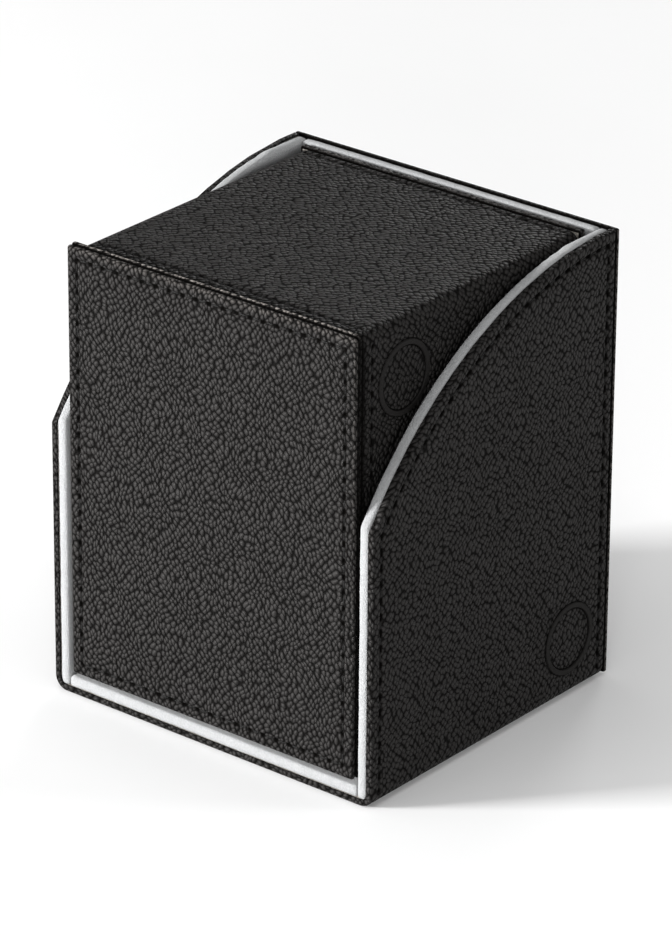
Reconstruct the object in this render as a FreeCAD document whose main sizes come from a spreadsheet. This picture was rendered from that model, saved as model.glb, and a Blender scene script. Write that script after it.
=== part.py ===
"""Card deck box: a shell that is open at the front and top, and a card box that drops into it.

Millimetres, +Z up, +X to the right, the front faces -Y. The origin is the centre of the
bottom face. Every sheet, board, skin and thread row is a piece of its own.
"""
import FreeCAD, Part

import math
import os
import re

import Sketcher
from FreeCAD import Vector

SIZES = [
    # the shell
    ("shell_width", 84.0), ("shell_depth", 78.0), ("shell_height", 100.2),
    ("rim_radius", 90.0),          # curved cut of the two sides
    ("rim_peak_inset", 3.0),       # from the rear face to the rim's highest point
    ("fold_radius", 3.0),          # outside radius of the skin's fold under the shell
    ("leather", 0.6), ("board", 0.8), ("back_board", 0.5),
    ("liner_board", 1.8), ("plush", 0.7),
    ("liner_recess", 0.2),         # liner edge behind the leather edge
    ("back_joint", 0.3),           # groove between the sides and the back panel
    ("back_panel_rise", 0.8),      # back panel's lower edge above the floor
    # the card box
    ("side_gap", 1.6), ("floor_gap", 0.4), ("back_gap", 0.6),
    ("box_top_drop", 0.6),         # card box top below the shell's top
    ("box_board", 1.0), ("lining", 0.5), ("box_corner_radius", 2.8),
    ("back_ridge", 0.3),           # box back panel's upper edge above the wrap
    ("panel_side_overhang", 0.6), ("panel_top_overhang", 0.5), ("panel_rise", 0.6),
    ("panel_board", 0.5), ("backing", 1.4), ("backing_inset", 0.15),
    # magnets and the rings pressed round them
    ("magnet_diameter", 12.0), ("magnet_rear_inset", 13.6), ("magnet_rise", 13.5),
    ("shell_magnet_thickness", 1.6),
    ("upper_magnet_inset", 13.3), ("upper_magnet_drop", 12.7),
    ("ring_outer_diameter", 16.0), ("ring_inner_diameter", 13.2), ("ring_depth", 0.15),
    # stitching
    ("stitch_pitch", 3.45), ("stitch_length", 2.5), ("thread_diameter", 0.36),
    ("channel_width", 0.9), ("channel_depth", 0.36),
    ("edge_stitch_inset", 2.6), ("rear_stitch_inset", 2.15), ("seam_inset", 3.5),
]

# lengths that several pieces share, written with the sheet's names
SKIN = "(leather + board)"
WALL = f"({SKIN} + liner_board + plush)"
LINER = "(liner_board + plush)"
BACK_PANEL = "(leather + back_board)"
HALF_WIDTH = "(shell_width/2)"
FRONT = "(-shell_depth/2)"
SIDE_REAR = f"(shell_depth/2 - {BACK_PANEL} - back_joint)"
BOX_HALF = f"({HALF_WIDTH} - {WALL} - side_gap)"
BOX_WALL = "(leather + box_board)"
BOX_FLOOR = f"({WALL} + floor_gap)"
BOX_TOP = "(shell_height - box_top_drop)"
BOX_FRONT = f"({FRONT} + leather + panel_board + backing)"
BOX_REAR = f"(shell_depth/2 - {BACK_PANEL} - {LINER} - back_gap)"
BOX_SIDE_REAR = f"({BOX_REAR} - {BOX_WALL} - back_joint)"
BOX_CEILING = f"({BOX_TOP} - {BOX_WALL})"
PANEL_HALF = f"({BOX_HALF} + panel_side_overhang)"
PANEL_BOTTOM = f"({BOX_FLOOR} + panel_rise)"
PANEL_TOP = f"({BOX_TOP} + panel_top_overhang)"
MAGNET_Y = "(shell_depth/2 - magnet_rear_inset)"
UPPER_MAGNET_Y = f"({BOX_FRONT} + upper_magnet_inset)"
UPPER_MAGNET_Z = f"({BOX_TOP} - upper_magnet_drop)"

doc = FreeCAD.newDocument("deck_box")
sheet = doc.addObject("Spreadsheet::Sheet", "sizes")
for row, (alias, number) in enumerate(SIZES, start=1):
    sheet.set(f"A{row}", alias)
    sheet.set(f"B{row}", str(number))
    sheet.setAlias(f"B{row}", alias)
doc.recompute()

CLOCKWISE, ANTICLOCKWISE = "clockwise", "anticlockwise"
NAMES = re.compile(r"\b(" + "|".join(alias for alias, _ in SIZES) + r")\b")
pieces = []


def formula(text):
    """Turn the short form of a length into an expression that reads the sheet."""
    return NAMES.sub(r"sizes.\1", text)


def value(text):
    """Present value of a length in millimetres."""
    return float(sheet.evalExpression(formula(text)))


def bind(item, prop, text):
    item.setExpression(prop, formula(text))


def plane_of(body, role):
    return next(f for f in body.Origin.OriginFeatures if f.Role == role)


class Outline:
    """A sketch on one of its body's own origin planes, with every size bound to the sheet."""

    def __init__(self, body, plane, offset="0"):
        self.sketch = body.newObject("Sketcher::SketchObject", "outline")
        self.sketch.AttachmentSupport = [(plane_of(body, plane), "")]
        self.sketch.MapMode = "FlatFace"
        bind(self.sketch, "AttachmentOffset.Base.z", offset)

    def fix(self, kind, *where, length):
        """Add a dimension and bind it."""
        index = self.sketch.addConstraint(Sketcher.Constraint(kind, *where, value(length)))
        self.sketch.setExpression(f"Constraints[{index}]", formula(length))

    def pin(self, edge, end, across, up):
        """Fix a point of an edge by its two distances from the origin."""
        self.fix("DistanceX", -1, 1, edge, end, length=across)
        self.fix("DistanceY", -1, 1, edge, end, length=up)

    def path(self, steps):
        """Closed outline. A step is a line's start, or an arc's start, centre, radius and turn."""
        first = self.sketch.GeometryCount
        spots = [(value(step[0]), value(step[1])) for step in steps]
        for i, step in enumerate(steps):
            start, end = spots[i], spots[(i + 1) % len(steps)]
            if len(step) == 2:
                self.sketch.addGeometry(Part.LineSegment(Vector(*start, 0), Vector(*end, 0)))
                continue
            x, y, radius = (value(length) for length in step[2:5])
            ends = (end, start) if step[5] == CLOCKWISE else (start, end)
            turn = [math.atan2(spot[1] - y, spot[0] - x) for spot in ends]
            circle = Part.Circle(Vector(x, y, 0), Vector(0, 0, 1), radius)
            self.sketch.addGeometry(Part.ArcOfCircle(circle, *turn))
        for i, step in enumerate(steps):
            last = steps[i - 1]
            start = 2 if step[-1] == CLOCKWISE else 1
            last_end = 1 if last[-1] == CLOCKWISE else 2
            here, previous = first + i, first + (i - 1) % len(steps)
            joined = Sketcher.Constraint("Coincident", here, start, previous, last_end)
            self.sketch.addConstraint(joined)
            self.pin(here, start, *step[:2])
            if len(step) > 2:
                self.fix("Radius", here, length=step[4])

    def circle(self, across, up, diameter):
        ring = Part.Circle(Vector(value(across), value(up), 0), Vector(0, 0, 1), value(diameter)/2)
        edge = self.sketch.addGeometry(ring)
        self.pin(edge, 3, across, up)
        self.fix("Diameter", edge, length=diameter)


def new_body(label):
    body = doc.addObject("PartDesign::Body", label)
    body.Label = label
    pieces.append(body)
    return body


def pad(body, outline, length, reverse=False, both_ways=False):
    feature = body.newObject("PartDesign::Pad", "pad")
    feature.Profile = outline.sketch
    feature.Reversed = reverse
    feature.Midplane = both_ways
    bind(feature, "Length", length)
    doc.recompute()
    return feature


def pocket(body, outline, depth, reverse=False, both_ways=False):
    """Cut a pocket, and make sure that it takes material away."""
    before = body.Shape.Volume
    feature = body.newObject("PartDesign::Pocket", "pocket")
    feature.Profile = outline.sketch
    feature.Reversed = reverse
    feature.Midplane = both_ways
    bind(feature, "Length", depth)
    doc.recompute()
    if body.Shape.Volume >= before - 1e-6:
        raise RuntimeError(f"a pocket of {body.Label} cuts nothing")
    return feature


# ---- the outline of the shell's sides ----------------------------------------------------

RIM_CENTRE_Y = "(shell_depth/2 - rim_peak_inset)"
RIM_CENTRE_Z = "(shell_height - rim_radius)"


def rim_height(at, inset):
    """Height of the curved rim at a distance along Y, for a rim moved inwards by an inset."""
    return f"({RIM_CENTRE_Z} + sqrt((rim_radius - {inset})^2 - ({at} - {RIM_CENTRE_Y})^2))"


def rim_arc(start, inset, turn):
    """Path step that follows the rim from a distance along Y."""
    return (start, rim_height(start, inset), RIM_CENTRE_Y, RIM_CENTRE_Z, f"(rim_radius - {inset})",
            turn)


def side_outline(body, inset, low, offset):
    """Front edge, curved rim, rear edge and foot of a side sheet, in the YZ plane."""
    front = f"({FRONT} + {inset})"
    outline = Outline(body, "YZ_Plane", offset)
    outline.path([(front, low), rim_arc(front, inset, CLOCKWISE),
                  (SIDE_REAR, rim_height(SIDE_REAR, inset)), (SIDE_REAR, low)])
    return outline


def rim_band(body, inset, width, rear, low, offset):
    """Band of even width: up the front, along the rim and down the rear."""
    inner = f"({inset} + {width})"
    front, front_inner = f"({FRONT} + {inset})", f"({FRONT} + {inner})"
    rear_inner = f"({rear} - {width})"
    outline = Outline(body, "YZ_Plane", offset)
    outline.path([
        (front, low), rim_arc(front, inset, CLOCKWISE), (rear, rim_height(rear, inset)),
        (rear, low), (rear_inner, low), rim_arc(rear_inner, inner, ANTICLOCKWISE),
        (front_inner, rim_height(front_inner, inner)), (front_inner, low),
    ])
    return outline


# ---- the shell ---------------------------------------------------------------------------

SIDES = {"left": -1, "right": 1}
CHANNEL_REAR = f"({SIDE_REAR} - rear_stitch_inset + channel_width/2)"
CHANNEL_INSET = "(edge_stitch_inset - channel_width/2)"


def shell_trough(body, inner, floor, fold):
    """U-shaped section with folded lower corners; the inside is sharp where it has no fold."""
    out, bend_x = HALF_WIDTH, f"({HALF_WIDTH} - fold_radius)"
    low, high = "fold_radius", "shell_height"
    steps = [
        (f"-{out}", high),
        (f"-{out}", low, f"-{bend_x}", low, "fold_radius", ANTICLOCKWISE),
        (f"-{bend_x}", "0"),
        (bend_x, "0", bend_x, low, "fold_radius", ANTICLOCKWISE),
        (out, low), (out, high), (inner, high),
    ]
    if fold:
        steps += [(inner, low, bend_x, low, fold, CLOCKWISE), (bend_x, floor),
                  (f"-{bend_x}", floor, f"-{bend_x}", low, fold, CLOCKWISE), (f"-{inner}", low)]
    else:
        steps += [(inner, floor), (f"-{inner}", floor)]
    outline = Outline(body, "XZ_Plane", "shell_depth/2")
    outline.path(steps + [(f"-{inner}", high)])
    return outline


def press_ring(body, across, up, face, reverse):
    """Shallow round groove that the magnet behind the skin is pressed in with."""
    ring = Outline(body, "YZ_Plane", face)
    ring.circle(across, up, "ring_outer_diameter")
    ring.circle(across, up, "ring_inner_diameter")
    pocket(body, ring, "ring_depth", reverse=reverse)


def shell_wrap():
    """One skin over the left side, the bottom and the right side, turned in over the rims."""
    body = new_body("shell_wrap_leather")
    skin_in, lip_in = f"({HALF_WIDTH} - leather)", f"({HALF_WIDTH} - {SKIN})"
    pad(body, shell_trough(body, skin_in, "leather", "(fold_radius - leather)"),
        f"{SIDE_REAR} - {FRONT}", reverse=True)
    pad(body, shell_trough(body, lip_in, SKIN, None), "leather", reverse=True)
    lip_front = f"({FRONT} + leather)"
    for side in SIDES.values():
        lip = Outline(body, "YZ_Plane", f"-{HALF_WIDTH}" if side < 0 else lip_in)
        lip.path([(lip_front, "shell_height"), (lip_front, rim_height(lip_front, "leather"),
                  RIM_CENTRE_Y, RIM_CENTRE_Z, "(rim_radius - leather)", CLOCKWISE),
                  (SIDE_REAR, rim_height(SIDE_REAR, "leather")), (SIDE_REAR, "shell_height")])
        pad(body, lip, SKIN)
    above = Outline(body, "YZ_Plane")
    above.path([rim_arc(FRONT, "0", CLOCKWISE), (SIDE_REAR, rim_height(SIDE_REAR, "0")),
                (SIDE_REAR, "shell_height*2"), (FRONT, "shell_height*2")])
    pocket(body, above, "shell_width*2", both_ways=True)
    for side in SIDES.values():
        face = f"-{HALF_WIDTH}" if side < 0 else HALF_WIDTH
        channel = rim_band(body, CHANNEL_INSET, "channel_width", CHANNEL_REAR, "fold_radius", face)
        pocket(body, channel, "channel_depth", reverse=side < 0)
        press_ring(body, MAGNET_Y, "magnet_rise", face, side < 0)


def shell_side_sheets(word, side):
    """Board, liner board and plush of one side, from the skin inwards."""
    def start(distance, thickness):
        """X of a sheet's lower face, from its distance behind the outer face."""
        near = f"({HALF_WIDTH} - {distance})"
        return f"-{near}" if side < 0 else f"({near} - {thickness})"

    board = new_body(f"shell_{word}_board")
    pad(board, side_outline(board, "leather", "fold_radius", start("leather", "board")),
        "board")

    inset = "(liner_recess + plush)"
    place = start(SKIN, "liner_board")
    liner = new_body(f"shell_{word}_liner_board")
    pad(liner, side_outline(liner, inset, SKIN, place), "liner_board")
    face = start(SKIN, "0")
    hole = Outline(liner, "YZ_Plane", face)
    hole.circle(MAGNET_Y, "magnet_rise", "magnet_diameter")
    pocket(liner, hole, "shell_magnet_thickness", reverse=side < 0)

    cloth = new_body(f"shell_{word}_liner_cloth")
    pad(cloth, side_outline(cloth, "liner_recess", SKIN, start(SKIN, LINER)), LINER)
    pocket(cloth, side_outline(cloth, inset, SKIN, face), "liner_board",
           reverse=side < 0)

    magnet = new_body(f"shell_{word}_magnet")
    disc = Outline(magnet, "YZ_Plane", start(SKIN, "shell_magnet_thickness"))
    disc.circle(MAGNET_Y, "magnet_rise", "magnet_diameter")
    pad(magnet, disc, "shell_magnet_thickness")


def slab(label, x, y, z):
    """Plain rectangular sheet between two lengths on each axis."""
    item = doc.addObject("Part::Box", label)
    item.Label = label
    for axis, prop, (low, high) in zip("xyz", ("Length", "Width", "Height"), (x, y, z)):
        bind(item, prop, f"{high} - {low}")
        bind(item, f"Placement.Base.{axis}", low)
    pieces.append(item)
    return item


def hollowed(label, outer, inner):
    """A sheet with a rectangular pocket in it, as a skin turned round a board is."""
    body = doc.addObject("Part::Cut", label)
    body.Label = label
    body.Base = slab(f"{label}_outside", *outer)
    body.Tool = slab(f"{label}_inside", *inner)
    for helper in (body.Base, body.Tool):
        pieces.remove(helper)
    pieces.append(body)
    return body


def shell_floor_and_back_liners():
    inner = f"({HALF_WIDTH} - {WALL})"
    across = (f"-{inner}", inner)
    front = f"({FRONT} + liner_recess)"
    board_front = f"({front} + plush)"
    floor = f"({SKIN} + liner_board)"
    fold_edge = f"({HALF_WIDTH} - fold_radius)"
    slab("shell_bottom_board", (f"-{fold_edge}", fold_edge), (f"({FRONT} + leather)", SIDE_REAR),
         ("leather", SKIN))
    slab("shell_bottom_liner_board", across, (board_front, SIDE_REAR), (SKIN, floor))
    hollowed("shell_bottom_liner_cloth",
             (across, (front, SIDE_REAR), (SKIN, WALL)),
             (across, (board_front, SIDE_REAR), (SKIN, floor)))

    back_in = f"(shell_depth/2 - {BACK_PANEL})"
    top = "(shell_height - liner_recess)"
    board_top = f"({top} - plush)"
    slab("shell_back_liner_board", across, (f"({back_in} - liner_board)", back_in),
         (WALL, board_top))
    hollowed("shell_back_liner_cloth",
             (across, (f"({back_in} - {LINER})", back_in), (WALL, top)),
             (across, (f"({back_in} - liner_board)", back_in), (WALL, board_top)))


def upright_sheet(body, half, low, high, margin, face):
    """Rectangle in the XZ plane, moved in by a margin."""
    side, foot, top = f"({half} - {margin})", f"({low} + {margin})", f"({high} - {margin})"
    outline = Outline(body, "XZ_Plane", face)
    outline.path([(f"-{side}", foot), (side, foot), (side, top), (f"-{side}", top)])
    return outline


def covered_sheet(label, half, low, high, face, board_depth, looks_back, stitch_inset):
    """Skin of a flat panel, turned round all four edges of the board that it covers.

    face is where the visible side lies, as a distance towards the front.
    """
    skin = new_body(f"{label}_leather")
    depth = f"(leather + {board_depth})"
    inner_face = f"({face} + {depth})" if looks_back else f"({face} - {depth})"
    pad(skin, upright_sheet(skin, half, low, high, "0", face), depth, reverse=not looks_back)
    pocket(skin, upright_sheet(skin, half, low, high, "leather", inner_face), board_depth,
           reverse=not looks_back)
    if stitch_inset:
        inner, outer = f"({stitch_inset} + channel_width/2)", f"({stitch_inset} - channel_width/2)"
        channel = upright_sheet(skin, half, low, high, outer, face)
        steps = [(f"-({half} - {inner})", f"({low} + {inner})"),
                 (f"({half} - {inner})", f"({low} + {inner})"),
                 (f"({half} - {inner})", f"({high} - {inner})"),
                 (f"-({half} - {inner})", f"({high} - {inner})")]
        channel.path(steps)
        pocket(skin, channel, "channel_depth", reverse=looks_back)

    board = new_body(f"{label}_board")
    pad(board, upright_sheet(board, half, low, high, "leather", inner_face), board_depth,
        reverse=looks_back)


# ---- the card box ------------------------------------------------------------------------

FRONT_SEAM_Y = f"({BOX_FRONT} + seam_inset)"
BACK_SEAM_Y = f"({BOX_REAR} - seam_inset)"
BOX_INNER = f"({BOX_HALF} - {BOX_WALL})"
BOX_BACK_IN = f"({BOX_REAR} - {BOX_WALL})"
BOX_MAGNETS = {"upper": (UPPER_MAGNET_Y, UPPER_MAGNET_Z), "lower": (MAGNET_Y, "magnet_rise")}


def box_wrap():
    """One skin over the left side, the top and the right side, turned in at the mouth."""
    body = new_body("box_wrap_leather")
    out, low, bend = BOX_HALF, BOX_FLOOR, "box_corner_radius"
    inner, hem = f"({BOX_HALF} - leather)", f"({BOX_FLOOR} + leather)"
    x, z = f"({out} - {bend})", f"({BOX_TOP} - {bend})"
    inner_bend, inner_top = f"({bend} - leather)", f"({BOX_TOP} - leather)"
    section = Outline(body, "XZ_Plane", f"-{BOX_FRONT}")
    section.path([
        (f"-{out}", low), (f"-{out}", z, f"-{x}", z, bend, CLOCKWISE), (f"-{x}", BOX_TOP),
        (x, BOX_TOP, x, z, bend, CLOCKWISE), (out, z), (out, low), (BOX_INNER, low),
        (BOX_INNER, hem), (inner, hem), (inner, z, x, z, inner_bend, ANTICLOCKWISE),
        (x, inner_top), (f"-{x}", inner_top, f"-{x}", z, inner_bend, ANTICLOCKWISE),
        (f"-{inner}", z), (f"-{inner}", hem), (f"-{BOX_INNER}", hem), (f"-{BOX_INNER}", low),
    ])
    pad(body, section, f"{BOX_SIDE_REAR} - {BOX_FRONT}", reverse=True)

    cut, clear = f"({BOX_HALF} - channel_depth)", f"({BOX_HALF} + leather)"
    cut_bend, cut_top = f"({bend} - channel_depth)", f"({BOX_TOP} - channel_depth)"
    above, below = f"({BOX_TOP} + leather)", f"({BOX_FLOOR} - leather)"
    for seam in (FRONT_SEAM_Y, BACK_SEAM_Y):
        channel = Outline(body, "XZ_Plane", f"-{seam}")
        channel.path([
            (f"-{cut}", below), (f"-{cut}", z, f"-{x}", z, cut_bend, CLOCKWISE),
            (f"-{x}", cut_top), (x, cut_top, x, z, cut_bend, CLOCKWISE), (cut, z), (cut, below),
            (clear, below), (clear, above), (f"-{clear}", above), (f"-{clear}", below),
        ])
        pocket(body, channel, "channel_width", both_ways=True)
    for side in SIDES.values():
        face = f"-{BOX_HALF}" if side < 0 else BOX_HALF
        press_ring(body, *BOX_MAGNETS["upper"], face, side < 0)


def box_side_sheets(word, side):
    """Board with its two magnets, and the lining, of one side of the card box."""
    def span(distance, thickness):
        near = f"({BOX_HALF} - {distance})"
        far = f"({near} - {thickness})"
        return (f"-{near}", f"-{far}") if side < 0 else (far, near)

    low, high = f"({BOX_FLOOR} + leather)", f"({BOX_TOP} - box_corner_radius)"
    inner_face = span("leather", "box_board")[0]
    board = new_body(f"box_{word}_board")
    outline = Outline(board, "YZ_Plane", inner_face)
    outline.path([(BOX_FRONT, low), (BOX_SIDE_REAR, low), (BOX_SIDE_REAR, high),
                  (BOX_FRONT, high)])
    for across, up in BOX_MAGNETS.values():
        outline.circle(across, up, "magnet_diameter")
    pad(board, outline, "box_board")
    for level, (across, up) in BOX_MAGNETS.items():
        magnet = new_body(f"box_{level}_{word}_magnet")
        disc = Outline(magnet, "YZ_Plane", inner_face)
        disc.circle(across, up, "magnet_diameter")
        pad(magnet, disc, "box_board")
    slab(f"box_{word}_lining", span(BOX_WALL, "lining"),
         (f"({BOX_FRONT} + box_board + lining)", f"({BOX_BACK_IN} - lining)"),
         (BOX_FLOOR, f"({BOX_CEILING} - lining)"))


def box_front_back_and_top():
    across = (f"-{BOX_INNER}", BOX_INNER)
    board_back = f"({BOX_FRONT} + box_board)"
    lining_top = f"({BOX_CEILING} - lining)"
    flat = f"({BOX_HALF} - box_corner_radius)"
    slab("box_front_board", across, (BOX_FRONT, board_back),
         (f"({BOX_FLOOR} + lining)", BOX_CEILING))
    hollowed("box_front_lining",
             (across, (BOX_FRONT, f"({board_back} + lining)"), (BOX_FLOOR, lining_top)),
             (across, (BOX_FRONT, board_back), (f"({BOX_FLOOR} + lining)", BOX_CEILING)))
    slab("box_back_lining", across, (f"({BOX_BACK_IN} - lining)", BOX_BACK_IN),
         (BOX_FLOOR, lining_top))
    slab("box_top_board", (f"-{flat}", flat), (BOX_FRONT, BOX_SIDE_REAR),
         (BOX_CEILING, f"({BOX_TOP} - leather)"))
    slab("box_top_lining", across, (board_back, BOX_BACK_IN), (lining_top, BOX_CEILING))


def front_panel_backing():
    side = f"({PANEL_HALF} - backing_inset)"
    slab("front_panel_backing", (f"-{side}", side), (f"({BOX_FRONT} - backing)", BOX_FRONT),
         (f"({PANEL_BOTTOM} + backing_inset)", f"({PANEL_TOP} - backing_inset)"))


# ---- stitching ---------------------------------------------------------------------------

PITCH, STITCH, THREAD = value("stitch_pitch"), value("stitch_length"), value("thread_diameter")
SUNK = value("channel_depth") - THREAD/2      # thread centre below the face that it is sewn in


def stitch(middle, along):
    """One short length of thread, centred on a point."""
    return Part.makeCylinder(THREAD/2, STITCH, middle - along*(STITCH/2), along)


def straight_row(start, end):
    """Evenly spaced stitches on a straight run, with half a gap at each end."""
    run = end - start
    count = max(1, round(run.Length/PITCH))
    along = Vector(run).normalize()
    return [stitch(start + run*((i + 0.5)/count), along) for i in range(count)]


def curved_row(centre, radius, first, last):
    """Evenly spaced stitches on an arc in a YZ plane, between two angles in radians."""
    count = max(1, round(radius*abs(last - first)/PITCH))
    row = []
    for i in range(count):
        turn = first + (last - first)*(i + 0.5)/count
        outward = Vector(0, math.cos(turn), math.sin(turn))
        row.append(stitch(centre + outward*radius, Vector(0, -outward.z, outward.y)))
    return row


def sew(label, rows):
    """Put all the stitches of a seam in one piece."""
    thread = doc.addObject("Part::Feature", label)
    thread.Label = label
    thread.Shape = Part.makeCompound([solid for row in rows for solid in row])
    pieces.append(thread)


def shell_side_stitching(word, side):
    x = side*(value(HALF_WIDTH) - SUNK)
    inset = value("edge_stitch_inset")
    radius = value("rim_radius") - inset
    centre = Vector(x, value(RIM_CENTRE_Y), value(RIM_CENTRE_Z))
    front, rear = value(FRONT) + inset, value(SIDE_REAR) - value("rear_stitch_inset")
    foot = value("fold_radius")
    ends = []
    for y in (front, rear):
        ends.append(math.acos((y - centre.y)/radius))
    corners = [Vector(x, y, centre.z + radius*math.sin(turn))
               for y, turn in zip((front, rear), ends)]
    sew(f"shell_{word}_stitching", [
        straight_row(Vector(x, front, foot), corners[0]),
        curved_row(centre, radius, *ends),
        straight_row(corners[1], Vector(x, rear, foot)),
    ])


def panel_stitching(label, half, low, high, y):
    """Four rows of stitches round a panel in an XZ plane."""
    side, foot, top = (value(length) for length in (half, low, high))
    corners = [Vector(-side, y, foot), Vector(side, y, foot), Vector(side, y, top),
               Vector(-side, y, top)]
    sew(label, [straight_row(corners[i - 1], corners[i]) for i in range(4)])


def seam_stitching(label, seam):
    """Stitches up one side of the card box, over its top and down the other side."""
    y, bend = value(seam), value("box_corner_radius")
    side, foot, top = value(BOX_HALF) - SUNK, value(BOX_FLOOR), value(BOX_TOP)
    flat, shoulder = value(BOX_HALF) - bend, top - bend
    sew(label, [
        straight_row(Vector(-side, y, foot), Vector(-side, y, shoulder)),
        straight_row(Vector(-flat, y, top - SUNK), Vector(flat, y, top - SUNK)),
        straight_row(Vector(side, y, shoulder), Vector(side, y, foot)),
    ])


# ---- the whole box -----------------------------------------------------------------------

shell_wrap()
for name, direction in SIDES.items():
    shell_side_sheets(name, direction)
    shell_side_stitching(name, direction)
shell_floor_and_back_liners()
covered_sheet("shell_back", HALF_WIDTH, "back_panel_rise", "shell_height", "(-shell_depth/2)",
              "back_board", True, "edge_stitch_inset")
panel_stitching("shell_back_stitching", f"{HALF_WIDTH} - edge_stitch_inset",
                "back_panel_rise + edge_stitch_inset", "shell_height - edge_stitch_inset",
                value("shell_depth")/2 - SUNK)

box_wrap()
for name, direction in SIDES.items():
    box_side_sheets(name, direction)
box_front_back_and_top()
covered_sheet("box_back", BOX_HALF, BOX_FLOOR, f"({BOX_TOP} + back_ridge)", f"(-{BOX_REAR})",
              "box_board", True, None)
covered_sheet("front_panel", PANEL_HALF, PANEL_BOTTOM, PANEL_TOP, "(shell_depth/2)",
              "panel_board", False, "edge_stitch_inset")
front_panel_backing()
panel_stitching("front_panel_stitching", f"{PANEL_HALF} - edge_stitch_inset",
                f"{PANEL_BOTTOM} + edge_stitch_inset", f"{PANEL_TOP} - edge_stitch_inset",
                value(FRONT) + SUNK)
seam_stitching("box_front_seam_stitching", FRONT_SEAM_Y)
seam_stitching("box_back_seam_stitching", BACK_SEAM_Y)

doc.recompute()
faults = [item.Label for item in doc.Objects if {"Invalid", "Error"} & set(item.State)]
faults += [item.Label for item in pieces if item.Shape.isNull() or not item.Shape.isValid()]
if faults:
    raise RuntimeError(f"these did not build: {faults}")

os.makedirs("parts", exist_ok=True)
for item in pieces:
    item.Shape.exportStep(f"parts/{item.Label}.step")
print(len(pieces), "pieces")
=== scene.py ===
import math

import bmesh
import bpy
from mathutils import Matrix, Vector, kdtree


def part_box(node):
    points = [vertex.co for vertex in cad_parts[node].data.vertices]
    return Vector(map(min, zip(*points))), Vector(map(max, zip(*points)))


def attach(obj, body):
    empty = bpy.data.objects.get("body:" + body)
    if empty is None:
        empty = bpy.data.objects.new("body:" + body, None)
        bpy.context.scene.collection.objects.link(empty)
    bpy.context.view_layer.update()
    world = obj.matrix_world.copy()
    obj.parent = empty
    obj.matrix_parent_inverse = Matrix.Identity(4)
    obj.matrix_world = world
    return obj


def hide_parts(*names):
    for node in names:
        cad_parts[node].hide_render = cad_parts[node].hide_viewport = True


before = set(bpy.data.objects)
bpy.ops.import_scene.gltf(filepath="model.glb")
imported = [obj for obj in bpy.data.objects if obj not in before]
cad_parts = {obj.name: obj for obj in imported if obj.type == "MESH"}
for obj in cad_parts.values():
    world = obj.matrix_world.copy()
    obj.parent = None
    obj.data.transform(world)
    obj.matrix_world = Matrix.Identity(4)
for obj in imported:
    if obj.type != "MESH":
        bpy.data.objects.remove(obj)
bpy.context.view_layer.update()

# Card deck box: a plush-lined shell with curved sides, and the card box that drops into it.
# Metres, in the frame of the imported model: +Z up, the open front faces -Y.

MM = 0.001                       # millimetre, in metres

# ---- sizes that the skins share ----------------------------------------------------------

SKIN = 0.42 * MM                 # thickness of the leatherette
BOX_SKIN = 0.32 * MM             # the same on the card box
EDGE_ROUND = 0.45 * MM           # where a skin turns over a board's edge
PANEL_ROUND = 0.62 * MM          # softer edge of the front panel and its backing
FRONT_LIP = 1.4 * MM             # how far the shell's skin is turned in along its front
REAR_LIP = 1.2 * MM              # the same along its rear
BOX_LIP = 1.2 * MM               # the same all round the card box's skin
PANEL_LIP = 1.5 * MM             # how far a panel's skin is turned behind its board
BACKING_RISE = 0.45 * MM         # how far the backing's top stands above its CAD solid
PLUSH_RISE = 0.25 * MM           # how far the nap stands above the curved rims
PLUSH_ROUND = 0.45 * MM          # soft edges of the plush
RIM_RADIUS = 90 * MM             # curved cut of the shell's sides
RIM_PEAK_INSET = 3 * MM          # from the rear face to the rim's highest point
FOLD_RADIUS = 3 * MM             # fold under the shell's sides
SHOULDER_RADIUS = 2.8 * MM       # rounded upper edges of the card box
STITCH_PITCH = 3.45 * MM
SEAM_INSET = 2.6 * MM            # stitches behind a panel's edge
GROOVE = 0.2 * MM                # how deep a row of stitches sinks into the skin
NEEDLE_HOLE = 0.4 * MM           # depth of a needle hole
THREAD_RADIUS = 0.19 * MM
STITCH_HALF = 1.15 * MM          # half the length of a stitch
RING_OUTER = 8.0 * MM
RING_INNER = 6.6 * MM
RING_RISE = 0.25 * MM            # how far the ring's rolled band stands proud
RING_LINE = 0.16 * MM            # depth of the two lines beside the band
FINE = 0.43 * MM                 # spacing of vertices along a seam


# ---- the workbench: small modelling steps ------------------------------------------------

def deselect():
    bpy.ops.object.select_all(action="DESELECT")


def hold(piece):
    """Select one piece and make it the active one."""
    deselect()
    piece.select_set(True)
    bpy.context.view_layer.objects.active = piece


def block(name, low, high):
    """A cube primitive between two corners, with its place in its mesh."""
    deselect()
    low, high = Vector(low), Vector(high)
    bpy.ops.mesh.primitive_cube_add(size=1, location=(low + high)/2)
    piece = bpy.context.object
    piece.name = piece.data.name = name
    piece.scale = high - low
    bpy.ops.object.transform_apply(location=True, rotation=True, scale=True)
    return piece


def mark(piece, kind, test):
    """In edit mode, select the faces, edges or vertices that pass a test, and nothing else."""
    bpy.ops.mesh.select_mode(type=kind)
    bpy.ops.mesh.select_all(action="DESELECT")
    mesh = bmesh.from_edit_mesh(piece.data)
    mesh.normal_update()
    things = {"FACE": mesh.faces, "EDGE": mesh.edges, "VERT": mesh.verts}[kind]
    chosen = [thing for thing in things if test(thing)]
    for thing in chosen:
        thing.select_set(True)
    mesh.select_flush_mode()
    bmesh.update_edit_mesh(piece.data)
    return len(chosen)


def middle(edge):
    return (edge.verts[0].co + edge.verts[1].co)/2


def runs_along(edge, axis):
    """Is an edge parallel to an axis?"""
    way = (edge.verts[1].co - edge.verts[0].co).normalized()
    return abs(way[axis]) > 0.999


def near(a, b, slack=1e-5):
    return abs(a - b) < slack


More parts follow.
